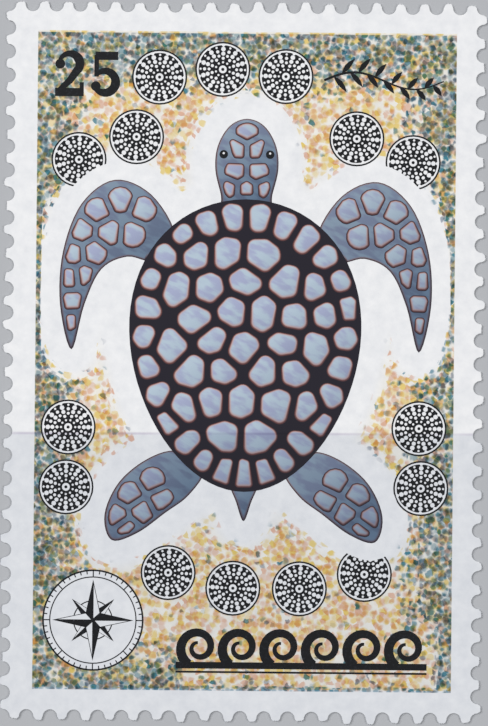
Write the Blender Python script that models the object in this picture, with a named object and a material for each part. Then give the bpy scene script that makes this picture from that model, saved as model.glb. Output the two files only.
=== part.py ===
"""A perforated postage stamp, lying flat with its printed side up.

It is one sheet of gummed paper. It was torn out of a larger sheet along rows of punched holes, so each
edge is a row of half holes with a short torn tip of paper between each two of them.

Units are metres. +Z is up and +Y points to the top of the printed design. The origin is in the middle
of the gummed back, the face that the stamp lies on.
"""

import math
import random

import bpy

MM = 0.001

# The sheet, and the comb of pins that punched it
HOLES_IN_20_MM = 14
TEETH_ACROSS = 20
TEETH_ALONG = 30
HOLE_DIAMETER = 0.87 * MM
PAPER_THICKNESS = 0.105 * MM

# How far the torn tips of each edge reach past the line through its hole centres. Each edge was torn
# by itself, so each has its own usual reach, and the tips on it differ by up to the spread.
BOTTOM_TIP = 0.18 * MM
RIGHT_TIP = 0.12 * MM
TOP_TIP = 0.16 * MM
LEFT_TIP = 0.10 * MM
TIP_SPREAD = 0.12 * MM
TIP_SLANT = 0.05 * MM
SHORTEST_TIP = 0.02 * MM
TEAR_SEED = 14

# Straight steps round half a hole, and the torn points of a tip as shares of its half width
HALF_HOLE_STEPS = 8
TIP_POINTS = (-0.86, -0.6, 0.0, 0.6, 0.86)

PITCH = 20 * MM / HOLES_IN_20_MM
WIDTH = TEETH_ACROSS * PITCH
HEIGHT = TEETH_ALONG * PITCH
HOLE_RADIUS = HOLE_DIAMETER / 2
TIP_HALF_WIDTH = PITCH / 2 - HOLE_RADIUS

PAPER_COLOUR = (0.82, 0.84, 0.86, 1.0)
PAPER_ROUGHNESS = 0.55


def clear_scene():
    for thing in list(bpy.data.objects):
        bpy.data.objects.remove(thing, do_unlink=True)


def torn_tip(tooth_centre, usual_reach, tear):
    """Points of one torn tip, as places along the edge and inwards from the line of holes."""
    reach = tear.triangular(usual_reach - TIP_SPREAD, usual_reach + TIP_SPREAD)
    slant = tear.uniform(-TIP_SLANT, TIP_SLANT)
    points = []
    for share in TIP_POINTS:
        rounding = 1 - 1.8 * share**6
        out = max(reach * rounding + slant * share, SHORTEST_TIP)
        points.append((tooth_centre + share * TIP_HALF_WIDTH, -out))
    return points


def hole_bite(hole_centre, turn):
    """Points round a hole's arc inside the sheet: half a turn, or a quarter at a corner."""
    steps = round(HALF_HOLE_STEPS * turn / math.pi)
    points = []
    for step in range(steps + 1):
        angle = math.pi - turn * step / steps
        across = HOLE_RADIUS * math.cos(angle)
        inward = HOLE_RADIUS * math.sin(angle)
        points.append((hole_centre + across, inward))
    return points


def edge_points(teeth, usual_reach, tear):
    """One perforated edge, from its first tooth to the bite at the corner that ends it."""
    points = []
    for tooth in range(teeth):
        points += torn_tip((tooth + 0.5) * PITCH, usual_reach, tear)
        at_corner = tooth == teeth - 1
        points += hole_bite((tooth + 1) * PITCH, math.pi / 2 if at_corner else math.pi)
    return points


def stamp_outline():
    """The outline, counterclockwise from the lower left corner, one edge after the other."""
    tear = random.Random(TEAR_SEED)
    half_width = WIDTH / 2
    half_height = HEIGHT / 2
    edges = [
        (-half_width, -half_height, 0, TEETH_ACROSS, BOTTOM_TIP),
        (half_width, -half_height, 1, TEETH_ALONG, RIGHT_TIP),
        (half_width, half_height, 2, TEETH_ACROSS, TOP_TIP),
        (-half_width, half_height, 3, TEETH_ALONG, LEFT_TIP),
    ]
    outline = []
    for start_x, start_y, quarter_turns, teeth, usual_reach in edges:
        turn = quarter_turns * math.pi / 2
        along_x, along_y = math.cos(turn), math.sin(turn)
        for along, inward in edge_points(teeth, usual_reach, tear):
            x = start_x + along * along_x - inward * along_y
            y = start_y + along * along_y + inward * along_x
            outline.append((x, y))
    return outline


def paper_material():
    material = bpy.data.materials.new("stamp paper")
    material.use_nodes = True
    shader = material.node_tree.nodes["Principled BSDF"]
    shader.inputs["Base Color"].default_value = PAPER_COLOUR
    shader.inputs["Roughness"].default_value = PAPER_ROUGHNESS
    shader.inputs["Metallic"].default_value = 0.0
    return material


def add_stamp(collection):
    """The sheet: the perforated outline, filled, and as thick as the paper with its gum."""
    sheet = bpy.data.curves.new("stamp", "CURVE")
    sheet.dimensions = "2D"
    sheet.fill_mode = "BOTH"
    sheet.extrude = PAPER_THICKNESS / 2
    outline = stamp_outline()
    spline = sheet.splines.new("POLY")
    spline.points.add(len(outline) - 1)
    for point, (x, y) in zip(spline.points, outline):
        point.co = (x, y, 0, 1)
    spline.use_cyclic_u = True
    sheet.materials.append(paper_material())
    stamp = bpy.data.objects.new("stamp", sheet)
    stamp.location.z = PAPER_THICKNESS / 2
    collection.objects.link(stamp)
    return stamp


def build():
    clear_scene()
    collection = bpy.data.collections.new("postage_stamp")
    bpy.context.scene.collection.children.link(collection)
    add_stamp(collection)


build()
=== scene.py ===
"""The looks of a perforated postage stamp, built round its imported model.

The stamp lies flat with its printed side up: +Z comes out of the print and +Y points to the top of the
design. Sizes are in millimetres unless a name says otherwise, and points on the paper are complex
numbers, across plus up times 1j, so that a turn is a multiplication.
"""

import math
import random
from cmath import phase, rect
from collections import defaultdict, namedtuple

import bmesh
import bpy
import numpy as np
from mathutils import Matrix, Vector, geometry


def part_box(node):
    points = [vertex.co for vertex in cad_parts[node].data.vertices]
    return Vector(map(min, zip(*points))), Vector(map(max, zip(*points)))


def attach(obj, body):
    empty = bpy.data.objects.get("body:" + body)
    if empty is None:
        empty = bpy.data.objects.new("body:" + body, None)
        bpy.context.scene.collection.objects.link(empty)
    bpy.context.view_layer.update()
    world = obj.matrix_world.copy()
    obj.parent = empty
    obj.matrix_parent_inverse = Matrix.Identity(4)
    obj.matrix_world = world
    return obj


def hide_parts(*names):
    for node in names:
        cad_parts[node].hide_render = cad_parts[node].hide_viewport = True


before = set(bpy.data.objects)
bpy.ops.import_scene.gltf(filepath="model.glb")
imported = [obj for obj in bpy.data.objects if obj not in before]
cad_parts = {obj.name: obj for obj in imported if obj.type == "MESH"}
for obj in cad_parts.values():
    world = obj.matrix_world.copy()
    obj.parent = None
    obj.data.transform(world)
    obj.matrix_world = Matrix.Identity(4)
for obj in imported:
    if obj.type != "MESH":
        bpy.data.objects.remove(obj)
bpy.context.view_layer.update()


# The sheet's edge. The paper was punched with rows of round pins and torn out along them. Each hole
# leaves a clean half round bite, and each bridge between two holes a short ragged tip. The four sides
# were torn one by one, so on each the tips have their own usual reach past the line of holes.
MM = 0.001
HOLES_IN_20_MM = 14
PITCH = 20 / HOLES_IN_20_MM
HOLE_RADIUS = 0.435
HALF_TIP = PITCH / 2 - HOLE_RADIUS
TEETH_ACROSS = 20
TEETH_ALONG = 30
BOTTOM_TIP = 0.18
RIGHT_TIP = 0.12
TOP_TIP = 0.16
LEFT_TIP = 0.10
SIDES = (
    (TEETH_ACROSS, BOTTOM_TIP), (TEETH_ALONG, RIGHT_TIP), (TEETH_ACROSS, TOP_TIP), (TEETH_ALONG, LEFT_TIP),
)
TIP_SPREAD = 0.12
TIP_SLANT = 0.05
TIP_ROUNDING = 1.8
TIP_WIDTH_SHARE = 0.94
SHORTEST_TIP = 0.02
RAGGED = 0.016
TEAR_SEED = 14
BITE_STEPS = 16
TIP_STEPS = 13
SHEET_ACROSS = TEETH_ACROSS * PITCH
SHEET_UP = TEETH_ALONG * PITCH


def teeth_in_turn():
    """Each tooth from the lower left corner round to the right: the start of its pitch, the way along its
    side, its usual reach, and whether it is the last on its side."""
    corner = complex(-SHEET_ACROSS, -SHEET_UP) / 2
    along = 1 + 0j
    for teeth, usual_reach in SIDES:
        for tooth in range(teeth):
            yield corner + along * tooth * PITCH, along, usual_reach, tooth == teeth - 1
        corner += along * teeth * PITCH
        along *= 1j


def tip_profile(usual_reach, tear):
    """One torn tip: a function that gives how far out it reaches at each share of its half width."""
    reach = tear.triangular(usual_reach - TIP_SPREAD, usual_reach + TIP_SPREAD)
    slant = tear.uniform(-TIP_SLANT, TIP_SLANT)
    return lambda share: max(reach * (1 - TIP_ROUNDING * share**6) + slant * share, SHORTEST_TIP)


def perforated_outline(inset):
    """The outline from the lower left corner round to the right, moved in by inset at every point."""
    tear = random.Random(TEAR_SEED)
    ragged = random.Random(TEAR_SEED + 1)
    outline = []
    for start, along, usual_reach, at_corner in teeth_in_turn():
        reach_at = tip_profile(usual_reach, tear)
        for step in range(TIP_STEPS):
            share = TIP_WIDTH_SHARE * (2 * step / (TIP_STEPS - 1) - 1)
            reach = reach_at(share) + ragged.uniform(-RAGGED, RAGGED) - inset
            outline.append(start + along * complex(PITCH / 2 + share * (HALF_TIP - inset), -reach))
        steps = BITE_STEPS // 2 if at_corner else BITE_STEPS
        for step in range(steps + 1):
            bite = rect(HOLE_RADIUS + inset, math.pi * (1 - step / BITE_STEPS))
            outline.append(start + along * (PITCH + bite))
    return outline


# The printed ground. A tinted panel in four colours of small irregular dots, offset printed as flat
# thin ink: blue-green dots crowd its outer edge, and ochre and pink ones fill it. Every ink here is
# a flat shape, and a shape printed later hides what is under it.
BARE, GROUND, PICTURE, BLACK, CUT_EDGE, GUM = range(6)
PANEL_ACROSS = 25.18
PANEL_UP = 39.53
PANEL_MIDDLE = complex(0.075, 0.025)
BLEED = 0.25
FADED_RIM_SPACING = 0.2
Shape = namedtuple("Shape", "ink outline fade tone fall")
printed = []


def turned_left(outline):
    """The outline with its points in counterclockwise order."""
    swept = sum((p.conjugate() * q).imag for p, q in zip(outline, outline[1:] + outline[:1]))
    return outline if swept > 0 else outline[::-1]


def evened(outline, spacing):
    """The same closed outline with points no further apart than spacing."""
    fine = []
    for a, b in zip(outline, outline[1:] + outline[:1]):
        count = math.ceil(abs(b - a) / spacing)
        fine += [a + (b - a) * i / count for i in range(count)]
    return fine


def lay(ink, outline, fade=0.0, tone=0.0, fall=0.0):
    """Prints a shape. Its rim fades over the width fade, and its tone rises by fall to its lower right."""
    outline = turned_left(list(outline))
    if fade:
        outline = evened(outline, FADED_RIM_SPACING)
    printed.append(Shape(ink, outline, fade, tone, fall))


def box_of(left, low, right, high):
    return [complex(left, low), complex(right, low), complex(right, high), complex(left, high)]


half_panel = complex(PANEL_ACROSS, PANEL_UP) / 2 + complex(BLEED, BLEED)
low = PANEL_MIDDLE - half_panel
high = PANEL_MIDDLE + half_panel
lay(GROUND, box_of(low.real, low.imag, high.real, high.imag))


# The urchins. Small line drawings printed in black: a round dark test with rays of bare spots, a bare
# ring round it and a thin outline. The picture's white surround, laid over them, cuts into some.
URCHIN_RADIUS = 1.66
URCHIN_LINE = 0.10
URCHIN_RAYS = 20
LONG_RAY = ((0.43, 0.07), (0.67, 0.10), (0.95, 0.13), (1.22, 0.145), (1.46, 0.10))
SHORT_RAY = ((0.83, 0.0936), (1.10, 0.1044), (1.34, 0.072))
APEX_RADIUS = 0.24
APEX_DOT_RADIUS = 0.10
TURN_TO_NEXT_URCHIN = 0.31
URCHINS = (
    -10.5 - 4.0j, -10.6 - 7.6j, 10.6 - 3.9j, 10.75 - 7.5j,
    -5.2 + 17.1j, -1.4 + 17.6j, 2.4 + 17.2j,
    -10.0 + 12.1j, 10.1 + 12.1j, -6.55 + 13.5j, 6.7 + 13.5j,
    -4.4 - 12.7j, -0.5 - 13.6j, 3.5 - 13.6j, 7.4 - 12.7j,
)


def ring_of(centre, radius, steps, start=0.0):
    return [centre + rect(radius, start + 2 * math.pi * i / steps) for i in range(steps)]


def lay_urchin(middle, turned):
    """One urchin. Each spot of a ray is a distance from the middle and a radius."""
    for line, ink in enumerate((BLACK, BARE, BLACK)):
        lay(ink, ring_of(middle, URCHIN_RADIUS - line * URCHIN_LINE, steps=36))
    for ray in range(URCHIN_RAYS):
        angle = turned + 2 * math.pi * ray / URCHIN_RAYS
        for distance, radius in SHORT_RAY if ray % 2 else LONG_RAY:
            lay(BARE, ring_of(middle + rect(distance, angle), radius, steps=7, start=angle))
    lay(BARE, ring_of(middle, APEX_RADIUS, steps=12))
    lay(BLACK, ring_of(middle, APEX_DOT_RADIUS, steps=8))


for number, place in enumerate(URCHINS):
    lay_urchin(place, TURN_TO_NEXT_URCHIN * number)


# The picture. A sea turtle seen from above, printed in near black, rust and pale blue inks: a dark net
# holds rounded plates, each with a soft rust rim, and the skin is slate blue. The paper is left white
# round it. A tone is 0 for the palest ink of a shape and 1 for its darkest.
TURTLE = complex(0.1, 1.0)
TURTLE_SIZE = 1.1
SHELL_HALF_ACROSS = 6.3
SHELL_HALF_UP = 8.0
SHELL_SHOULDERS = 0.13
WHITE_SURROUND = 1.05
SURROUND_SPACING = 0.08
NET = 0.27
NET_AT_BORDER = 0.8 * NET
LARGEST_SHELL_PLATE = 1.3
LARGEST_FLIPPER_PLATE = 0.82
LARGEST_HEAD_PLATE = 0.72
SHELL_ROUNDING = 0.52
SKIN_ROUNDING = 0.22
ROUNDING_STEP_RAD = 0.3
SHORTEST_PLATE_SIDE = 0.05
PLATE_FADE = 0.24
PLATE_FALL = 0.22
SHELL_PLATE_TONE = 0.12
SKIN_PLATE_TONE = 0.3
SKIN_TONE = 0.85
SKIN_FADE = 0.16
SKIN_FALL = 0.3
DARKER_A_MM = 0.014
EYE_RADIUS = 0.26
GLINT_RADIUS = 0.07
RIM_PLATES = 27
RIM_PLATES_SHARE = 0.9
INNER_PLATES_SHARE = 0.8
CLOSEST_TO_RIM_PLATES = 0.42
PLATE_ROWS = range(-5, 6)
PLATE_COLUMNS = range(-4, 5)
ROW_STEP = 1.78
COLUMN_STEP = 2.1
WANDER_ACROSS = 0.42
WANDER_UP = 0.34
WANDER_SEED = 5


def at(*points):
    """Places given from the turtle's middle."""
    return [TURTLE + TURTLE_SIZE * p for p in points]


def other_side(points):
    """The same points on the other side of the turtle's upright middle line."""
    return [TURTLE - (p - TURTLE).conjugate() for p in points][::-1]


def curved(points, steps=6):
    """A closed smooth curve that passes through each point."""
    count = len(points)
    curve = []
    for i in range(count):
        a, b, c, d = (points[(i + k) % count] for k in (-1, 0, 1, 2))
        for step in range(steps):
            t = step / steps
            bend = (2 * a - 5 * b + 4 * c - d) * t**2 + (3 * b - a - 3 * c + d) * t**3
            curve.append(b + 0.5 * ((c - a) * t + bend))
    return curve


def shell_curve(size, steps):
    """The shell's outline times size: an egg shape, a little wider towards the head."""
    points = []
    for i in range(steps):
        t = -2 * math.pi * i / steps
        across = SHELL_HALF_ACROSS * math.sin(t) * (1 + SHELL_SHOULDERS * math.cos(t))
        points.append(size * complex(across, SHELL_HALF_UP * math.cos(t)))
    return at(*points)


def grown(outline, by):
    """An outline moved outwards."""
    moved = []
    for i, point in enumerate(outline):
        ahead = outline[(i + 1) % len(outline)] - outline[i - 1]
        moved.append(point - 1j * by * ahead / abs(ahead))
    return moved


def gaps_to(outline, points):
    """How far each point is from an outline, and whether it is inside."""
    start = np.array(outline)
    step = np.roll(start, -1) - start
    here = np.asarray(points).reshape(-1, 1) - start
    share = np.clip((here * step.conj()).real / abs(step) ** 2, 0, 1)
    turns = np.angle((here - step + 1e-9) / (here + 1e-9)).sum(axis=1)
    return abs(here - share * step).min(axis=1), abs(turns) > math.pi


def plate_outline(seed, seeds, borders, largest, rounding):
    """One plate: a disc trimmed halfway to each neighbour and short of the borders, with round corners."""
    plate = bmesh.new()
    place = Matrix.Translation((seed.real, seed.imag, 0))
    radius = largest - rounding
    bmesh.ops.create_circle(plate, cap_ends=True, radius=radius, segments=14, matrix=place)
    cuts = [(seed + (other - seed) / 2, rounding + NET / 2) for other in seeds if other != seed]
    cuts += [(point, rounding + NET_AT_BORDER) for border in borders for point in border]
    for through, gap in cuts:
        away = through - seed
        if abs(away) - gap > radius:
            continue
        short = through - away / abs(away) * gap
        whole = plate.verts[:] + plate.edges[:] + plate.faces[:]
        bmesh.ops.bisect_plane(
            plate, geom=whole, dist=1e-5, clear_outer=True,
            plane_co=(short.real, short.imag, 0), plane_no=(away.real, away.imag, 0),
        )
    bmesh.ops.remove_doubles(plate, verts=plate.verts[:], dist=SHORTEST_PLATE_SIDE)
    bmesh.ops.dissolve_limit(plate, angle_limit=0.2, verts=plate.verts[:], edges=plate.edges[:])
    corners = turned_left([complex(*loop.vert.co.xy) for face in plate.faces for loop in face.loops])
    plate.free()
    outline = []
    for before, corner, after in zip(corners[-1:] + corners[:-1], corners, corners[1:] + corners[:1]):
        outward = -1j * (corner - before) / abs(corner - before) * rounding
        bend = phase((after - corner) / (corner - before))
        steps = max(1, round(bend / ROUNDING_STEP_RAD))
        outline += [corner + outward * rect(1, bend * i / steps) for i in range(steps + 1)]
    return outline


def lay_plates(seeds, borders, largest, rounding, tone):
    """Prints a plate at each seed, paler towards the turtle's upper left."""
    for seed in seeds:
        outline = plate_outline(seed, seeds, borders, largest, rounding)
        if not outline:
            outline = plate_outline(seed, seeds, borders, largest, rounding / 2)
        shaded = DARKER_A_MM * ((seed - TURTLE).real - (seed - TURTLE).imag)
        if outline:
            lay(PICTURE, outline, PLATE_FADE, max(tone + shaded, 0.0), PLATE_FALL)


front_flipper = curved(at(
    5.0 + 4.6j, 6.5 + 4.8j, 7.9 + 4.1j, 8.8 + 2.2j, 9.5 - 0.3j, 10.15 + 2.2j, 10.0 + 5.1j,
    9.0 + 7.7j, 7.2 + 9.0j, 5.2 + 8.2j, 3.9 + 6.0j,
))
rear_flipper = curved(at(
    3.0 - 8.2j, 4.3 - 9.2j, 5.8 - 10.3j, 7.2 - 10.7j, 7.6 - 9.3j, 6.8 - 7.5j, 5.2 - 6.2j,
    3.6 - 5.8j, 2.2 - 6.8j,
))
head = curved(at(
    1.2 + 7.0j, 1.4 + 8.2j, 1.72 + 9.6j, 1.6 + 10.9j, 0.95 + 12.0j, 0 + 12.4j, -0.95 + 12.0j,
    -1.6 + 10.9j, -1.72 + 9.6j, -1.4 + 8.2j, -1.2 + 7.0j,
))
tail = curved(at(-0.8 - 7.2j, -0.4 - 8.6j, -9.6j, 0.4 - 8.6j, 0.8 - 7.2j))
shell = shell_curve(size=1.0, steps=72)
limbs = [front_flipper, other_side(front_flipper), rear_flipper, other_side(rear_flipper), tail, head]
for part in limbs + [shell]:
    lay(BARE, evened(grown(part, WHITE_SURROUND), SURROUND_SPACING))
for limb in limbs:
    lay(PICTURE, limb, SKIN_FADE, SKIN_TONE, SKIN_FALL)

front_seeds = at(
    5.6 + 7.4j, 6.9 + 7.9j, 8.15 + 7.3j, 9.0 + 6.2j, 9.5 + 4.9j, 9.65 + 3.6j, 9.6 + 2.3j, 9.55 + 1.2j,
    6.2 + 6.0j, 7.5 + 6.1j, 8.3 + 5.0j, 8.8 + 3.7j,
)
rear_seeds = at(5.0 - 7.4j, 6.2 - 8.2j, 6.9 - 9.4j, 4.5 - 8.5j, 5.6 - 9.1j, 6.4 - 10.1j)
head_seeds = at(
    11.7j, 0.55 + 10.7j, -0.55 + 10.7j, 0.6 + 9.5j, -0.6 + 9.5j, 1.0 + 8.55j, -1.0 + 8.55j, 8.5j,
)
for seeds, limb in ((front_seeds, front_flipper), (rear_seeds, rear_flipper)):
    for side_seeds, side_limb in ((seeds, limb), (other_side(seeds), other_side(limb))):
        lay_plates(side_seeds, [side_limb, shell], LARGEST_FLIPPER_PLATE, SKIN_ROUNDING, SKIN_PLATE_TONE)
eyes = at(1.27 + 10.45j, -1.27 + 10.45j)
eye_outlines = [ring_of(eye, EYE_RADIUS, steps=14) for eye in eyes]
lay_plates(head_seeds, [head, shell] + eye_outlines, LARGEST_HEAD_PLATE, SKIN_ROUNDING, SKIN_PLATE_TONE)
for eye, eye_outline in zip(eyes, eye_outlines):
    lay(BLACK, eye_outline)
    lay(BARE, ring_of(eye + GLINT_RADIUS * 1j, GLINT_RADIUS, steps=8))

lay(PICTURE, shell)
wander = random.Random(WANDER_SEED)
shell_seeds = shell_curve(RIM_PLATES_SHARE, 2 * RIM_PLATES)[1::2]
inner_curve = shell_curve(INNER_PLATES_SHARE, steps=72)
for row in PLATE_ROWS:
    for column in PLATE_COLUMNS:
        across = (column + row % 2 / 2) * COLUMN_STEP
        jump_across = wander.uniform(-WANDER_ACROSS, WANDER_ACROSS)
        jump_up = wander.uniform(-WANDER_UP, WANDER_UP)
        place = TURTLE + complex(across, row * ROW_STEP) + complex(jump_across, jump_up)
        gaps, inside = gaps_to(inner_curve, [place])
        if inside[0] and gaps[0] > CLOSEST_TO_RIM_PLATES:
            shell_seeds.append(place)
lay_plates(shell_seeds, [shell], LARGEST_SHELL_PLATE, SHELL_ROUNDING, SHELL_PLATE_TONE)


# The numerals. A heavy plain 25 with slab ends, printed in solid black. Their points are measured from
# the lower left corner of each.
NUMERALS = complex(-11.6, 15.9)
TO_NEXT_NUMERAL = 2.15
NUMERAL_HEIGHT = 2.7
BALL_RADIUS = 0.3


def stroke(path, widths):
    """The outline of a line drawn along path, with its width at each point."""
    before, after = [], []
    for i, point in enumerate(path):
        ahead = path[min(i + 1, len(path) - 1)] - path[max(i - 1, 0)]
        side = 0.5j * widths[i] * ahead / abs(ahead)
        before.append(point - side)
        after.append(point + side)
    return before + after[::-1]


def lay_bow(middle, radius, start_deg, end_deg, widths, steps):
    """A stroke round part of a circle, whose width runs evenly through the widths given."""
    shares = [i / steps for i in range(steps + 1)]
    path = [middle + rect(radius, math.radians(start_deg + (end_deg - start_deg) * s)) for s in shares]
    lay(BLACK, stroke(path, np.interp(shares, np.linspace(0, 1, len(widths)), widths)))


def lay_slab(corner, left, low, right, high):
    lay(BLACK, [corner + point for point in box_of(left, low, right, high)])


def lay_two(foot):
    lay(BLACK, ring_of(foot + 0.42 + 1.95j, BALL_RADIUS, steps=14))
    lay_bow(foot + 0.98 + 1.95j, 0.62, 175, -38, widths=(0.2, 0.34, 0.56, 0.5), steps=18)
    lay(BLACK, stroke([foot + 1.5 + 1.65j, foot + 1.0 + 0.95j, foot + 0.3 + 0.3j], (0.5, 0.42, 0.3)))
    lay_slab(foot, 0.12, 0.0, 1.85, 0.5)
    lay_slab(foot, 1.6, 0.4, 1.85, 0.85)


def lay_five(foot):
    lay_slab(foot, 0.4, 2.2, 1.75, NUMERAL_HEIGHT)
    lay_slab(foot, 0.32, 1.2, 0.6, 2.5)
    lay_bow(foot + 0.95 + 0.88j, 0.66, 145, -165, widths=(0.24, 0.46, 0.56, 0.5, 0.24), steps=22)
    lay(BLACK, ring_of(foot + 0.42 + 0.62j, BALL_RADIUS, steps=14))


lay_two(NUMERALS)
lay_five(NUMERALS + TO_NEXT_NUMERAL)


# The rose. A thin-lined compass rose printed in black on a bare disc: two rings with ticks between
# them and eight points, each half black and half bare.
ROSE = complex(-8.9, -15.6)
ROSE_RADIUS = 3.05
ROSE_INNER_RADIUS = 2.63
ROSE_HUB_RADIUS = 1.2
HAIRLINE = 0.07
ROSE_RIM_LINE = 1.5 * HAIRLINE
TICKS = 48
TICKS_TO_A_LONG_ONE = 6
SHORTER_TICK_BY = 0.14
SHORT_POINT, SHORT_WAIST = 1.8, 0.5
LONG_POINT, LONG_WAIST = 2.45, 0.62
BARE_FROM = 0.12
BARE_LENGTH_SHARE = 0.86
BARE_WAIST_SHARE = 0.9
BARE_WAIST_SHIFT = 0.7 * HAIRLINE


def lay_circle_line(middle, radius, width, steps):
    lay(BLACK, ring_of(middle, radius, steps))
    lay(BARE, ring_of(middle, radius - width, steps))


def lay_rose_point(length, waist, turned):
    """One point of the rose: a narrow kite, its left half black and its right half bare."""
    turn = rect(1, turned)
    side = rect(waist, math.pi / 4)
    edge = HAIRLINE / 2 * 1j
    bare_waist = side.conjugate() * BARE_WAIST_SHARE + BARE_WAIST_SHIFT
    bare = [BARE_FROM - edge, bare_waist, length * BARE_LENGTH_SHARE - edge]
    lay(BLACK, [ROSE, ROSE + turn * length, ROSE + turn * side])
    lay(BLACK, [ROSE, ROSE + turn * side.conjugate(), ROSE + turn * length])
    lay(BARE, [ROSE + turn * p for p in bare])


lay_circle_line(ROSE, ROSE_RADIUS, ROSE_RIM_LINE, steps=72)
lay_circle_line(ROSE, ROSE_INNER_RADIUS, HAIRLINE, steps=72)
for tick in range(TICKS):
    turn = rect(1, 2 * math.pi * tick / TICKS)
    inner = ROSE_INNER_RADIUS + (SHORTER_TICK_BY if tick % TICKS_TO_A_LONG_ONE else 0)
    path = [ROSE + turn * inner, ROSE + turn * (ROSE_RADIUS - HAIRLINE)]
    lay(BLACK, stroke(path, (HAIRLINE, HAIRLINE)))
lay_circle_line(ROSE, ROSE_HUB_RADIUS, HAIRLINE, steps=40)
for length, waist, start in ((SHORT_POINT, SHORT_WAIST, math.pi / 4), (LONG_POINT, LONG_WAIST, 0.0)):
    for quarter in range(4):
        lay_rose_point(length, waist, start + math.pi / 2 * quarter)


# The wave band. A heavy running scroll printed in solid black, like a row of breaking waves that rise
# from a bar, with a thin rule under it.
BAND = complex(-3.9, -18.45)
BAND_HEIGHT = 2.3
BAR_HEIGHT = 0.4
RULE_LOW, RULE_HIGH = -0.26, -0.14
WAVES = 6
WAVE_STEP = 2.5
BAND_WIDTH = WAVES * WAVE_STEP + 0.1
WAVE_EYE = complex(0.55 * WAVE_STEP, 0.5 * BAND_HEIGHT + 0.12)
CURL_STEPS = 36
CURL_RADIUS = 1.2
CURL_CLOSES_BY = 0.92
CURL_START_DEG = 238
CURL_DEG = 500
WAVE_WIDTH = 0.62
WAVE_THINS_BY = 0.44

lay_slab(BAND, 0.0, 0.0, BAND_WIDTH, BAR_HEIGHT)
lay_slab(BAND, 0.0, RULE_LOW, BAND_WIDTH, RULE_HIGH)
for wave in range(WAVES):
    path = []
    widths = []
    for step in range(CURL_STEPS + 1):
        share = step / CURL_STEPS
        angle = math.radians(CURL_START_DEG - CURL_DEG * share)
        arm = rect(CURL_RADIUS - CURL_CLOSES_BY * share**0.9, angle)
        path.append(BAND + wave * WAVE_STEP + WAVE_EYE + arm)
        widths.append(WAVE_WIDTH - WAVE_THINS_BY * share)
    lay(BLACK, stroke(path, widths))


# The sprig. A flourish printed in black: a curved stem with small leaves on both sides, which get
# shorter towards its tip.
SPRIG = complex(4.7, 17.0)
SPRIG_LENGTH = 7.2
SPRIG_SWING = 0.5
STEM_STEPS = 24
STEM_WIDTH = 0.15
STEM_THINS_BY = 0.07
LEAVES = 13
FIRST_LEAF = 0.08
LEAFY_SHARE = 0.9
LEAF_LENGTH = 1.25
LEAF_SHORTENS_BY = 0.4
LEAF_LEAN_DEG = 50
LEAF_BEND = 0.12
LEAF_PLACES = (0, 0.2, 0.45, 0.75, 1)
LEAF_WIDTHS = (0.05, 0.22, 0.34, 0.24, 0.02)


def stem_at(share):
    return SPRIG + complex(SPRIG_LENGTH * share, SPRIG_SWING * math.sin(2 * math.pi * share))


stem_shares = [i / STEM_STEPS for i in range(STEM_STEPS + 1)]
stem = [stem_at(share) for share in stem_shares]
lay(BLACK, stroke(stem, [STEM_WIDTH - STEM_THINS_BY * share for share in stem_shares]))
for leaf in range(LEAVES):
    share = FIRST_LEAF + LEAFY_SHARE * leaf / LEAVES
    length = LEAF_LENGTH * (1 - LEAF_SHORTENS_BY * share)
    lean = rect(length, math.radians(LEAF_LEAN_DEG if leaf % 2 else -LEAF_LEAN_DEG))
    blade = [stem_at(share) + lean * t + LEAF_BEND * (t - t * t) * lean * 1j for t in LEAF_PLACES]
    lay(BLACK, stroke(blade, LEAF_WIDTHS))


# The paper and its inks. White coated paper, faintly mottled by its fibres, with a faint crease right
# across it, painted shade along the crease and painted shade greying the paper a little below it, under
# thin matt inks that let it show through. Their colours are given as they look on a screen, out of 255.
# A pair goes from the first to the second.
PAPER = ((231, 232, 235), (244, 244, 245))
PAPER_SHINE = 0.35
PAPER_RELIEF = 0.004
CREASE_UP = -4.31
CREASE_SLOPE = 0.0062
CREASE_WIDTH = 0.26
# The painted shade along the crease is patchy, and never fainter than this share.
FAINTEST_CREASE_SHADE = 0.45
# Painted shade along the crease line.
CREASE_SHADE_TINT = (226, 220, 231)
# Painted shade that greys the paper below the crease.
BELOW_CREASE_SHADE_TINT = (237, 239, 242)
BLACK_INK = ((9, 11, 16), (28, 31, 38))
GUM_TINT = (250, 247, 234)


def linear(colour):
    """A colour as the numbers that a shader takes."""
    parts = [part / 255 for part in colour]
    return [p / 12.92 if p <= 0.04045 else ((p + 0.055) / 1.055) ** 2.4 for p in parts] + [1.0]


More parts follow.
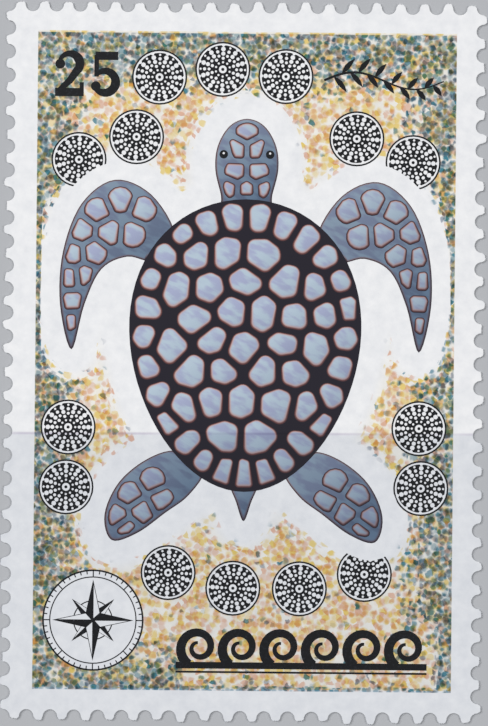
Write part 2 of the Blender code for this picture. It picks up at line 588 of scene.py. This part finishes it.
class Inks:
    """The nodes of one material: a shader on coated paper, with tints added one after the other."""

    def __init__(self, name, roughness):
        self.material = bpy.data.materials.new(name)
        self.material.use_nodes = True
        self.tree = self.material.node_tree
        self.shader = self.tree.nodes["Principled BSDF"]
        self.shader.inputs["Roughness"].default_value = roughness
        self.shader.inputs["Specular IOR Level"].default_value = PAPER_SHINE
        place = self.add("ShaderNodeTexCoord")
        scale = self.add("ShaderNodeVectorMath", operation="SCALE")
        scale.inputs["Scale"].default_value = 1 / MM
        self.put(place.outputs["Object"], scale.inputs[0])
        self.place = scale.outputs[0]
        split = self.add("ShaderNodeSeparateXYZ")
        self.put(self.place, split.inputs[0])
        self.across = split.outputs["X"]
        self.up = split.outputs["Y"]

    def add(self, kind, **settings):
        node = self.tree.nodes.new(kind)
        for name, value in settings.items():
            setattr(node, name, value)
        return node

    def put(self, value, into):
        """Gives a socket a number, a colour or another node's output."""
        if isinstance(value, bpy.types.NodeSocket):
            self.tree.links.new(value, into)
        else:
            into.default_value = value

    def worked(self, operation, *values):
        node = self.add("ShaderNodeMath", operation=operation)
        for value, into in zip(values, node.inputs):
            self.put(value, into)
        return node.outputs[0]

    def stretch(self, value, low, high, start=0.0, end=1.0, kind="SMOOTHSTEP"):
        """The value's share of the way from low to high, as a number from start to end."""
        node = self.add("ShaderNodeMapRange", interpolation_type=kind)
        limits = {"Value": value, "From Min": low, "From Max": high, "To Min": start, "To Max": end}
        for name, number in limits.items():
            self.put(number, node.inputs[name])
        return node.outputs["Result"]

    def moved(self, place, by):
        node = self.add("ShaderNodeVectorMath", operation="ADD")
        node.inputs[1].default_value = by
        self.put(place, node.inputs[0])
        return node.outputs[0]

    def noise(self, place, per_mm, detail, roughness=0.5):
        node = self.add("ShaderNodeTexNoise")
        node.inputs["Scale"].default_value = per_mm
        node.inputs["Detail"].default_value = detail
        node.inputs["Roughness"].default_value = roughness
        self.put(place, node.inputs["Vector"])
        return node.outputs

    def cloud(self, per_mm, detail, offset, roughness=0.5):
        """Noise of a given fineness. The offset makes each one different."""
        place = self.moved(self.place, (offset, -offset, offset))
        return self.noise(place, per_mm, detail, roughness)["Fac"]

    def mixed(self, kind, under, over, share):
        mix = self.add("ShaderNodeMix", data_type="RGBA", blend_type=kind)
        colour_sockets = [socket for socket in mix.inputs if socket.type == "RGBA"]
        self.put(share, mix.inputs["Factor"])
        self.put(under, colour_sockets[0])
        self.put(over, colour_sockets[1])
        return [socket for socket in mix.outputs if socket.type == "RGBA"][0]

    def tinted(self, under, tint, coverage):
        """The colour under an ink, seen through it where it covers."""
        return self.mixed("MULTIPLY", under, linear(tint), coverage)

    def blended(self, first, second, share):
        return self.mixed("MIX", first, second, share)

    def shaded(self, pair, share):
        """A colour from the first of a pair to the second."""
        return self.blended(linear(pair[0]), linear(pair[1]), share)

    def attribute(self, name):
        return self.add("ShaderNodeAttribute", attribute_name=name).outputs["Fac"]

    def paper(self):
        """The bare paper's colour, mottled by its fibres."""
        mottle = self.cloud(per_mm=1.4, detail=5.0, offset=3.0, roughness=0.6)
        return self.shaded(PAPER, self.stretch(mottle, low=0.3, high=0.7, kind="LINEAR"))

    def crease_shade(self):
        """How strongly the crease's painted shade shows at a point, and how far the point is past it."""
        line = self.worked("MULTIPLY_ADD", self.across, CREASE_SLOPE, CREASE_UP)
        above = self.worked("SUBTRACT", self.up, line)
        patches = self.cloud(per_mm=0.3, detail=1.0, offset=51.0)
        strength = self.stretch(patches, low=0.35, high=0.65, start=FAINTEST_CREASE_SHADE)
        shown = self.stretch(self.worked("ABSOLUTE", above), CREASE_WIDTH / 2, 0.0)
        past = self.stretch(above, CREASE_WIDTH / 2, -CREASE_WIDTH / 2)
        return self.worked("MULTIPLY", shown, strength), past

    def finished(self, colour, bump=0.25):
        """The material, with a fine relief and with painted shade along and below the crease over its
        colour.
        """
        relief = self.add("ShaderNodeBump")
        relief.inputs["Strength"].default_value = bump
        relief.inputs["Distance"].default_value = PAPER_RELIEF * MM
        self.put(self.cloud(per_mm=9.0, detail=3.0, offset=11.0, roughness=0.55), relief.inputs["Height"])
        self.put(relief.outputs["Normal"], self.shader.inputs["Normal"])
        crease_shade, past = self.crease_shade()
        # Painted shade: the paper below the crease is greyed a little.
        colour = self.tinted(colour, BELOW_CREASE_SHADE_TINT, past)
        # Painted shade along the crease line, over its shallow real groove.
        self.put(self.tinted(colour, CREASE_SHADE_TINT, crease_shade), self.shader.inputs["Base Color"])
        return self.material


def bare_paper():
    inks = Inks("coated paper", roughness=0.55)
    return inks.finished(inks.paper())


def black_ink():
    inks = Inks("black ink", roughness=0.44)
    thin = inks.stretch(inks.cloud(per_mm=7.0, detail=2.0, offset=8.0), low=0.5, high=0.75)
    return inks.finished(inks.shaded(BLACK_INK, thin))


def cut_paper():
    inks = Inks("cut paper edge", roughness=0.75)
    return inks.finished(inks.paper(), bump=0.5)


def dried_gum():
    inks = Inks("dried gum", roughness=0.38)
    sheen = inks.stretch(inks.cloud(per_mm=0.6, detail=3.0, offset=29.0), low=0.35, high=0.7)
    return inks.finished(inks.tinted(inks.paper(), GUM_TINT, sheen), bump=0.4)


# The ground's printing plates. Each prints small irregular dots, at most one in each cell of a random
# mesh: in one share of the cells far inside the panel, and in another share of them at its edge. The
# yellow plate and the others are a little out of register.
DotPlate = namedtuple("DotPlate", "tint cells_a_mm filled_inside filled_at_edge edge_row offset moved_up")
YELLOW_MOVED_UP = 0.07
OTHERS_MOVED_UP = -0.03
DOT_PLATES = (
    DotPlate((244, 216, 120), 2.5, 0.80, 0.74, False, 3.7, YELLOW_MOVED_UP),
    DotPlate((236, 190, 168), 2.8, 0.66, 0.50, False, 17.3, OTHERS_MOVED_UP),
    DotPlate((66, 140, 164), 3.0, 0.05, 1.00, True, 41.9, OTHERS_MOVED_UP),
    DotPlate((138, 150, 168), 3.3, 0.03, 0.62, False, 67.1, OTHERS_MOVED_UP),
)
CREAM_TINT = (254, 250, 240)
PANEL_SOFTNESS = 0.03
DOT_RADII = (0.38, 0.66)
DOT_SOFTNESS = 0.26
FAINTEST_DOT = 0.5
FILL_SOFTNESS = 0.02
DOTS_THIN_OUT = (WHITE_SURROUND + 0.1, WHITE_SURROUND + 1.2)
DOTS_END = (WHITE_SURROUND, WHITE_SURROUND + 0.3)
WOBBLE = 0.26
WOBBLES_A_MM = 3.6
EDGE_ROW = (0.34, 0.2)
EDGE_ZONE = (4.6, 0.2)
EDGE_ZONE_MOVED_UP = -0.6
LEFT_AT_BAND = 0.18
BAND_ROOM_NEAR = 0.6
BAND_ROOM_FAR = 1.2


def wavy_places(inks):
    """The places, moved about a little so that no dot has a straight side."""
    wobble = inks.noise(inks.place, WOBBLES_A_MM, detail=2.0)["Color"]
    wavy = inks.add("ShaderNodeVectorMath", operation="MULTIPLY_ADD")
    wavy.inputs[1].default_value = (WOBBLE, WOBBLE, 0.0)
    inks.put(wobble, wavy.inputs[0])
    inks.put(inks.place, wavy.inputs[2])
    return wavy.outputs[0]


def room_in_panel(inks, moved_up):
    """How far inside the panel a point is, on a plate that is moved up."""
    across = inks.worked("ABSOLUTE", inks.worked("SUBTRACT", inks.across, PANEL_MIDDLE.real))
    up = inks.worked("ABSOLUTE", inks.worked("SUBTRACT", inks.up, PANEL_MIDDLE.imag + moved_up))
    room_across = inks.worked("SUBTRACT", PANEL_ACROSS / 2, across)
    room_up = inks.worked("SUBTRACT", PANEL_UP / 2, up)
    return inks.worked("MINIMUM", room_across, room_up)


def near_band(inks):
    """How far a point is into the lighter ground that the wave band stands on."""
    right = BAND.real + BAND_WIDTH
    top = BAND.imag + BAND_HEIGHT
    from_left = inks.stretch(inks.across, BAND.real - BAND_ROOM_NEAR, BAND.real + BAND_ROOM_FAR)
    from_right = inks.stretch(inks.across, right + BAND_ROOM_FAR, right)
    from_top = inks.stretch(inks.up, top + BAND_ROOM_FAR, top - BAND_ROOM_NEAR)
    return inks.worked("MINIMUM", from_top, inks.worked("MINIMUM", from_left, from_right))


def dots_of(inks, plate, places, filled):
    """How much ink a plate prints at a point, if it fills a given share of its cells there."""
    cells = inks.add("ShaderNodeTexVoronoi", voronoi_dimensions="2D")
    cells.inputs["Scale"].default_value = plate.cells_a_mm
    moved = inks.moved(places, (plate.offset, -plate.offset, 0))
    inks.put(moved, cells.inputs["Vector"])
    numbers = inks.add("ShaderNodeSeparateColor")
    inks.put(cells.outputs["Color"], numbers.inputs[0])
    past = inks.worked("SUBTRACT", numbers.outputs["Red"], filled)
    is_filled = inks.stretch(past, FILL_SOFTNESS, -FILL_SOFTNESS)
    radius = inks.stretch(numbers.outputs["Green"], 0.0, 1.0, *DOT_RADII, kind="LINEAR")
    outside = inks.worked("SUBTRACT", cells.outputs["Distance"], radius)
    dot = inks.worked("MULTIPLY", inks.stretch(outside, DOT_SOFTNESS, -DOT_SOFTNESS), is_filled)
    thin = inks.stretch(numbers.outputs["Blue"], 0.0, 1.0, start=FAINTEST_DOT, kind="LINEAR")
    return inks.worked("MULTIPLY", dot, thin)


def stippled_ground():
    """The dots of all the plates over a cream tint. None print near the picture."""
    inks = Inks("stippled ground", roughness=0.5)
    surround = inks.attribute("halo")
    away = inks.stretch(surround, *DOTS_THIN_OUT)
    clear = inks.stretch(surround, *DOTS_END)
    places = wavy_places(inks)
    crowd = inks.stretch(room_in_panel(inks, EDGE_ZONE_MOVED_UP), *EDGE_ZONE)
    crowd = inks.worked("MULTIPLY", crowd, inks.stretch(near_band(inks), 0.0, 1.0, 1.0, LEFT_AT_BAND))
    in_panel = inks.stretch(room_in_panel(inks, YELLOW_MOVED_UP), -PANEL_SOFTNESS, PANEL_SOFTNESS)
    colour = inks.tinted(inks.paper(), CREAM_TINT, inks.worked("MULTIPLY", away, in_panel))
    for plate in DOT_PLATES:
        room = room_in_panel(inks, plate.moved_up)
        filled = inks.stretch(crowd, 0.0, 1.0, plate.filled_inside, plate.filled_at_edge)
        if plate.edge_row:
            filled = inks.worked("MAXIMUM", filled, inks.stretch(room, *EDGE_ROW))
        dots = dots_of(inks, plate, places, inks.worked("MULTIPLY", away, filled))
        in_panel = inks.stretch(room, -PANEL_SOFTNESS, PANEL_SOFTNESS)
        mask = inks.worked("MULTIPLY", in_panel, clear)
        colour = inks.tinted(colour, plate.tint, inks.worked("MULTIPLY", dots, mask))
    return inks.finished(colour)


# The picture's inks. From a shape's outline inwards they are near black, rust, a pale pink and the
# body's streaky blue. Each pair is an ink where it is palest and where it is darkest.
NET_INK = (27, 23, 36)
RUST = ((122, 72, 66), (62, 50, 60))
PINK = ((196, 168, 166), (92, 88, 104))
LILAC = ((167, 174, 203), (80, 96, 120))
PALE_BLUE = ((182, 199, 213), (94, 115, 139))
RUST_COMES_IN = (0.02, 0.34)
PINK_COMES_IN = (0.28, 0.62)
BLUE_COMES_IN = (0.52, 0.98)
STREAKS_A_MM = 1.7
STREAK_LENGTHENING = 2.0
STREAK_SLOPE = 0.4


def picture_inks():
    inks = Inks("picture inks", roughness=0.46)
    rim = inks.attribute("rim")
    tone = inks.attribute("tone")
    slanted = inks.add("ShaderNodeCombineXYZ")
    inks.put(inks.worked("DIVIDE", inks.across, STREAK_LENGTHENING), slanted.inputs["X"])
    inks.put(inks.worked("MULTIPLY_ADD", inks.across, STREAK_SLOPE, inks.up), slanted.inputs["Y"])
    streaky = inks.noise(slanted.outputs[0], STREAKS_A_MM, detail=2.0)["Fac"]
    streaks = inks.stretch(streaky, low=0.38, high=0.6)
    blue = inks.blended(inks.shaded(LILAC, tone), inks.shaded(PALE_BLUE, tone), streaks)
    colour = inks.blended(linear(NET_INK), inks.shaded(RUST, tone), inks.stretch(rim, *RUST_COMES_IN))
    colour = inks.blended(colour, inks.shaded(PINK, tone), inks.stretch(rim, *PINK_COMES_IN))
    return inks.finished(inks.blended(colour, blue, inks.stretch(rim, *BLUE_COMES_IN)))


# The sheet itself: one piece of coated paper, printed on the front and gummed on the back. The front is
# parted along the printed shapes, so that each ink has its own faces, and flat but for the crease's
# shallow groove. Its edge is rolled down a little by the pins, and the cut wall runs down to the back.
THICKNESS = (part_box("stamp")[1].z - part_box("stamp")[0].z) / MM
ROLL = 0.016
ROLL_DROP = 0.011
CREASE_DEPTH = 0.008
CREASE_END = SHEET_ACROSS / 2 - HOLE_RADIUS - 0.05
CREASE_SPACING = 0.1
GRID = 0.7
GUIDE_DEPTHS = (0.3, 0.65, 1.0, 1.45)
GUIDE_CLEARANCE = 0.8
RIM_NARROWS_BY = 0.45
TO_LOWER_RIGHT = 0.6 - 0.8j
MAP_MARGIN = 0.004
MAP_FRONT_RIGHT = 0.76
MAP_BACK_LEFT = 0.77
MAP_SPARE = 0.5
ROLL_ON_MAP = 0.02


def on_map(point, left, right):
    """A point's place on the colour map, in the upright strip between two shares of its width."""
    across = (point.real + SHEET_ACROSS / 2 + MAP_SPARE) / (SHEET_ACROSS + 2 * MAP_SPARE)
    up = (point.imag + SHEET_UP / 2 + MAP_SPARE) / (SHEET_UP + 2 * MAP_SPARE)
    return (left + (right - left) * across, MAP_MARGIN + (1 - 2 * MAP_MARGIN) * up)


def parted(outlines, loose_points):
    """A flat area parted along closed outlines: places, triangles, each place's and triangle's source."""
    points = [p for outline in outlines for p in outline] + loose_points
    faces = []
    for outline in outlines:
        start = faces[-1][-1] + 1 if faces else 0
        faces.append(list(range(start, start + len(outline))))
    flat = [Vector((p.real, p.imag)) for p in points]
    places, _, triangles, sources, _, owners = geometry.delaunay_2d_cdt(flat, [], faces, 1, 1e-6, True)
    kept = [i for i in range(len(triangles)) if owners[i]]
    places = [complex(place.x, place.y) for place in places]
    order = [source[0] if source else -1 for source in sources]
    return places, [triangles[i] for i in kept], order, [max(owners[i]) for i in kept]


def crease_side(way):
    """One side of the crease's groove: the upper one for 1 and the lower one for -1."""
    middle = [complex(x, CREASE_UP + CREASE_SLOPE * x) for x in (-CREASE_END, CREASE_END)]
    brink = [end + way * CREASE_WIDTH / 2 * 1j for end in middle[::-1]]
    return evened(turned_left(middle + brink), CREASE_SPACING)


def front_height(place):
    """How high the front is at a point: the thickness of the paper, less in the crease."""
    gap = abs(place.imag - CREASE_UP - CREASE_SLOPE * place.real) / (CREASE_WIDTH / 2)
    return THICKNESS - CREASE_DEPTH * max(1 - gap, 0)


def guide_points():
    """Loose points that let the front's rims and white surround fade evenly."""
    loose = []
    for shape in printed:
        for depth in GUIDE_DEPTHS if shape.fade else ():
            inner = grown(shape.outline, -depth * shape.fade)
            gaps, inside = gaps_to(shape.outline, inner)
            nearest = GUIDE_CLEARANCE * depth * shape.fade
            loose += [p for p, gap, within in zip(inner, gaps, inside) if within and gap > nearest]
    rows = [(i + 0.5) * GRID - PANEL_UP / 2 for i in range(int(PANEL_UP / GRID))]
    columns = [(i + 0.5) * GRID - PANEL_ACROSS / 2 for i in range(int(PANEL_ACROSS / GRID))]
    return loose + [PANEL_MIDDLE + complex(x, y) for y in rows for x in columns]


def rim_and_tone(shape, points):
    """How far from a shape's outline each point is, as a share of its fade, and its tone there."""
    middle = sum(shape.outline) / len(shape.outline)
    reach = max(abs(p - middle) for p in shape.outline)
    aside = (np.array(points) - middle) / reach
    gaps = gaps_to(shape.outline, points)[0]
    fade = shape.fade * (1 - RIM_NARROWS_BY * aside.imag)
    rims = np.clip(gaps / fade, 0, 1) if shape.fade else 0 * gaps
    return rims, shape.tone + shape.fall * (aside * TO_LOWER_RIGHT.conjugate()).real


front_rim = perforated_outline(ROLL)
bare_outlines = [front_rim, crease_side(1), crease_side(-1)]
shapes = [Shape(BARE, outline, 0.0, 0.0, 0.0) for outline in bare_outlines] + printed
places, triangles, order, owners = parted([shape.outline for shape in shapes], guide_points())
halo = np.min([gaps_to(part, places)[0] for part in limbs + [shell]], axis=0)

bm = bmesh.new()
order_layer = bm.verts.layers.int.new("order")
halo_layer = bm.verts.layers.float.new("halo")
rim_layer = bm.loops.layers.float.new("rim")
tone_layer = bm.loops.layers.float.new("tone")
map_layer = bm.loops.layers.uv.new("OFBake")
for place, source, gap in zip(places, order, halo):
    vertex = bm.verts.new((place.real * MM, place.imag * MM, front_height(place) * MM))
    vertex[order_layer] = source if source < len(front_rim) else -1
    vertex[halo_layer] = gap
bm.verts.ensure_lookup_table()
corners_by_shape = defaultdict(list)
for corners, owner in zip(triangles, owners):
    face = bm.faces.new([bm.verts[i] for i in corners])
    face.material_index = shapes[owner].ink
    for i, corner in zip(corners, face.loops):
        corner[map_layer].uv = on_map(places[i], MAP_MARGIN, MAP_FRONT_RIGHT)
        if face.material_index == PICTURE:
            corners_by_shape[owner].append((corner, places[i]))
for owner, corners in corners_by_shape.items():
    rims, tones = rim_and_tone(shapes[owner], [place for _, place in corners])
    for (corner, _), rim, tone in zip(corners, rims, tones):
        corner[rim_layer] = rim
        corner[tone_layer] = tone

rim_vertices = {vertex for edge in bm.edges if edge.is_boundary for vertex in edge.verts}
upper = sorted(rim_vertices, key=lambda vertex: vertex[order_layer])
rim_order = [vertex[order_layer] for vertex in upper]
unfolded = 0.0
for inset, height, wide in (
    (0.0, THICKNESS - ROLL_DROP, ROLL_ON_MAP),
    (0.0, ROLL_DROP, THICKNESS - 2 * ROLL_DROP),
    (ROLL, 0.0, ROLL_ON_MAP),
):
    above_on_map = perforated_outline(ROLL - unfolded)
    unfolded += wide
    below_on_map = perforated_outline(ROLL - unfolded)
    outline = perforated_outline(inset)
    lower = [bm.verts.new((outline[i].real * MM, outline[i].imag * MM, height * MM)) for i in rim_order]
    for here, i in enumerate(rim_order):
        before = rim_order[here - 1]
        face = bm.faces.new((upper[here], upper[here - 1], lower[here - 1], lower[here]))
        face.material_index = CUT_EDGE
        map_places = (above_on_map[i], above_on_map[before], below_on_map[before], below_on_map[i])
        for corner, place in zip(face.loops, map_places):
            corner[map_layer].uv = on_map(place, MAP_MARGIN, MAP_FRONT_RIGHT)
    upper = lower
last_loop = dict(zip(rim_order, upper))
_, back_triangles, back_order, _ = parted([perforated_outline(ROLL)], [])
for corners in back_triangles:
    face = bm.faces.new([last_loop[back_order[i]] for i in corners])
    face.material_index = GUM
    for corner in face.loops:
        point = complex(corner.vert.co.x, corner.vert.co.y) / MM
        corner[map_layer].uv = on_map(point, MAP_BACK_LEFT, 1 - MAP_MARGIN)
bmesh.ops.recalc_face_normals(bm, faces=bm.faces[:])

sheet_mesh = bpy.data.meshes.new("stamp_sheet")
bm.to_mesh(sheet_mesh)
bm.free()
for finish in (bare_paper, stippled_ground, picture_inks, black_ink, cut_paper, dried_gum):
    sheet_mesh.materials.append(finish())
sheet = bpy.data.objects.new("stamp_sheet", sheet_mesh)
bpy.context.scene.collection.objects.link(sheet)
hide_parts("stamp")
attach(sheet, "root")


# The torn fibres. Where a bridge was torn, fine paper fibres stand out of its tip, up to 0.13 mm long.
# Each is a thin spike that starts inside the paper.
FIBRES_A_TIP = 12
FIBRE_ROOT = 0.03
FIBRE_LENGTH = (0.03, 0.13)
FIBRE_RADIUS = (0.004, 0.009)
FIBRE_POINT_RADIUS = 0.001
FIBRE_LEAN_DEG = 21
FIBRE_SLOPE = 0.2
FIBRE_COVER = 0.02
TIP_REACHES_ASIDE = HALF_TIP + 0.3
TIP_STARTS_OUT = 0.01
FIBRE_SEED = 9

frizz = random.Random(FIBRE_SEED)
bm = bmesh.new()
torn_edge = perforated_outline(0.0)
for start, along, _, _ in teeth_in_turn():
    bridge = start + along * PITCH / 2
    tip = []
    for point in torn_edge:
        if abs(point - bridge) < TIP_REACHES_ASIDE and ((point - bridge) / along).imag < -TIP_STARTS_OUT:
            tip.append(point)
    for _ in range(FIBRES_A_TIP):
        rooted_at = frizz.choice(tip)
        length = frizz.uniform(*FIBRE_LENGTH)
        heading = along * rect(1, math.radians(frizz.gauss(-90, FIBRE_LEAN_DEG)))
        ahead = Vector((heading.real, heading.imag, frizz.uniform(-FIBRE_SLOPE, FIBRE_SLOPE))).normalized()
        height = frizz.uniform(FIBRE_COVER, THICKNESS - FIBRE_COVER)
        root = Vector((rooted_at.real, rooted_at.imag, height))
        middle = root + ahead * (length - FIBRE_ROOT) / 2
        turned = ahead.to_track_quat("Z", "Y").to_matrix().to_4x4()
        bmesh.ops.create_cone(
            bm, cap_ends=True, segments=4, radius1=frizz.uniform(*FIBRE_RADIUS) * MM,
            radius2=FIBRE_POINT_RADIUS * MM, depth=(FIBRE_ROOT + length) * MM,
            matrix=Matrix.Translation(middle * MM) @ turned,
        )
fibre_mesh = bpy.data.meshes.new("torn_fibres")
bm.to_mesh(fibre_mesh)
bm.free()
fibre_mesh.materials.append(sheet_mesh.materials[CUT_EDGE])
fibres = bpy.data.objects.new("torn_fibres", fibre_mesh)
bpy.context.scene.collection.objects.link(fibres)
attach(fibres, "root")


# The surroundings: a plain pale floor, soft light from both sides as over a copying stand, and a camera
# that looks straight down on the stamp, turned a little as the photograph is.
FLOOR_SIDE_M = 6.0
FLOOR_BELOW_M = 0.00002
FLOOR_COLOUR = (0.46, 0.47, 0.49, 1)
FLOOR_ROUGHNESS = 0.9
SOFTBOX_SIDE_M = 0.5
SKY_COLOUR = (0.9, 0.92, 0.95, 1)
SKY_STRENGTH = 0.22
PIXELS_PER_MM = 16.625
PHOTO_PIXELS = (488, 726)
STAMP_MIDDLE_PIXELS = (243.3, 362.2)
PHOTO_TURN_DEG = 0.55
LENS_MM = 120.0
SENSOR_MM = 36.0

floor_bm = bmesh.new()
lowered = Matrix.Translation((0, 0, -FLOOR_BELOW_M))
bmesh.ops.create_grid(floor_bm, x_segments=1, y_segments=1, size=FLOOR_SIDE_M / 2, matrix=lowered)
floor_mesh = bpy.data.meshes.new("floor")
floor_bm.to_mesh(floor_mesh)
floor_bm.free()
floor_paint = bpy.data.materials.new("pale floor")
floor_paint.use_nodes = True
floor_shader = floor_paint.node_tree.nodes["Principled BSDF"]
floor_shader.inputs["Base Color"].default_value = FLOOR_COLOUR
floor_shader.inputs["Roughness"].default_value = FLOOR_ROUGHNESS
floor_mesh.materials.append(floor_paint)
floor = bpy.data.objects.new("floor", floor_mesh)
bpy.context.scene.collection.objects.link(floor)


def add_softbox(name, place, power):
    """A square light that faces the stamp. Its place is in metres and its power in watts."""
    light = bpy.data.lights.new(name, "AREA")
    light.shape = "SQUARE"
    light.size = SOFTBOX_SIDE_M
    light.energy = power
    lamp = bpy.data.objects.new(name, light)
    lamp.location = place
    lamp.rotation_euler = (-Vector(place)).to_track_quat("-Z", "Y").to_euler()
    bpy.context.scene.collection.objects.link(lamp)


add_softbox("left softbox", (-0.55, 0.3, 0.6), power=5.7)
add_softbox("right softbox", (0.55, -0.1, 0.6), power=3.0)
world = bpy.data.worlds.new("studio")
world.use_nodes = True
sky = world.node_tree.nodes["Background"]
sky.inputs["Color"].default_value = SKY_COLOUR
sky.inputs["Strength"].default_value = SKY_STRENGTH
bpy.context.scene.world = world
bpy.context.scene.view_settings.view_transform = "Standard"

frame_height_m = PHOTO_PIXELS[1] / PIXELS_PER_MM * MM
distance = frame_height_m * LENS_MM / SENSOR_MM
turn = math.radians(PHOTO_TURN_DEG)
pixels_right = PHOTO_PIXELS[0] / 2 - STAMP_MIDDLE_PIXELS[0]
pixels_up = STAMP_MIDDLE_PIXELS[1] - PHOTO_PIXELS[1] / 2
aim = complex(pixels_right, pixels_up) * rect(1, turn) / PIXELS_PER_MM * MM
camera_data = bpy.data.cameras.new("camera")
camera_data.lens = LENS_MM
camera_data.sensor_width = SENSOR_MM
camera_data.clip_start = 0.01
camera_data.clip_end = 20.0
camera = bpy.data.objects.new("camera", camera_data)
camera.location = (aim.real, aim.imag, THICKNESS * MM + distance)
camera.rotation_euler = (0, 0, turn)
bpy.context.scene.collection.objects.link(camera)
bpy.context.scene.camera = camera
